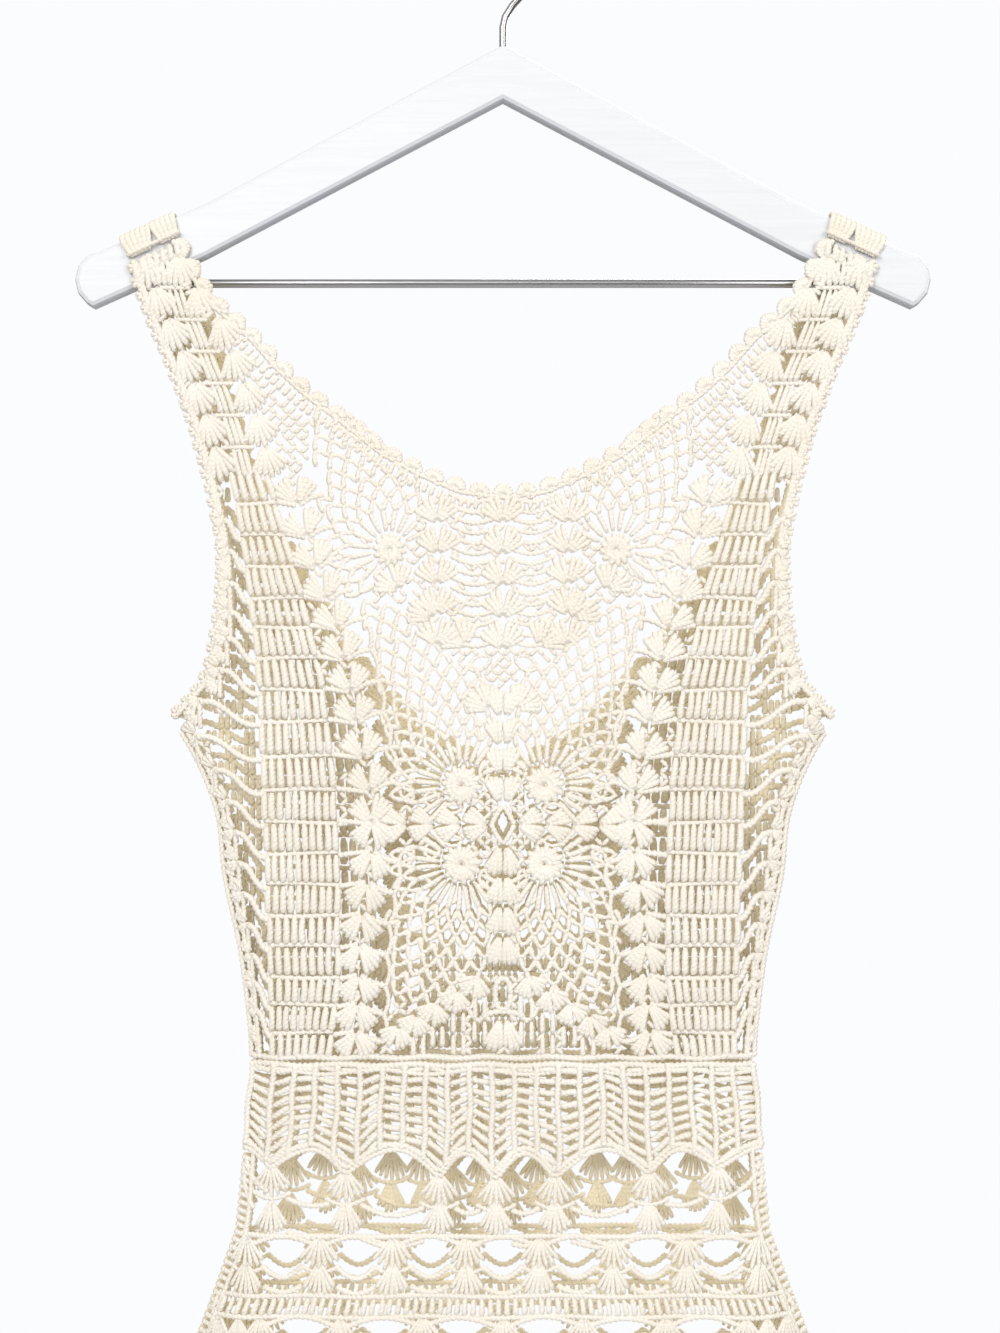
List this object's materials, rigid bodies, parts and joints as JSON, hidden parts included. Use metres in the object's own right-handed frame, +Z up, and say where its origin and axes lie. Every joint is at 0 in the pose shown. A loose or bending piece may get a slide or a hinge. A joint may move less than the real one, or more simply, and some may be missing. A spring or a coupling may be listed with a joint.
{
  "type": "crochet mini dress on a hanger",
  "caption": "Sleeveless cotton crochet mini dress with lace bodice, slanted-bar waistband and fan-lace skirt, hanging on a flat wooden hanger with a trouser bar.",
  "frame": {"origin": "inside of the hook's crown, where the hanger rests on a rail", "axes": "+Z up, -Y towards the front of the dress, +X to the right seen from the front"},
  "size_m": [0.447, 0.0612, 1.0139],
  "materials": {
    "cotton_lace": "matte crocheted cotton",
    "cotton_edging": "matte crocheted cotton",
    "cotton_band": "matte crocheted cotton",
    "white_painted_wood": "white satin paint",
    "steel_bar": "brushed",
    "steel_wire": "polished plating"
  },
  "bodies": {
    "root": {"front_bodice": "cotton_lace", "back_bodice": "cotton_lace", "skirt_front": "cotton_lace", "skirt_back": "cotton_lace", "waistband_front": "cotton_band", "waistband_back": "cotton_band", "strap_left": "cotton_edging", "strap_right": "cotton_edging", "front_neck_edging": "cotton_edging", "back_neck_edging": "cotton_edging", "front_armhole_edging_left": "cotton_edging", "front_armhole_edging_right": "cotton_edging", "back_armhole_edging_left": "cotton_edging", "back_armhole_edging_right": "cotton_edging", "hem_edging_front": "cotton_edging", "hem_edging_back": "cotton_edging", "hanger_arms": "white_painted_wood", "hanger_bar": "steel_bar", "hanger_hook": "steel_wire"}
  },
  "joints": []
}
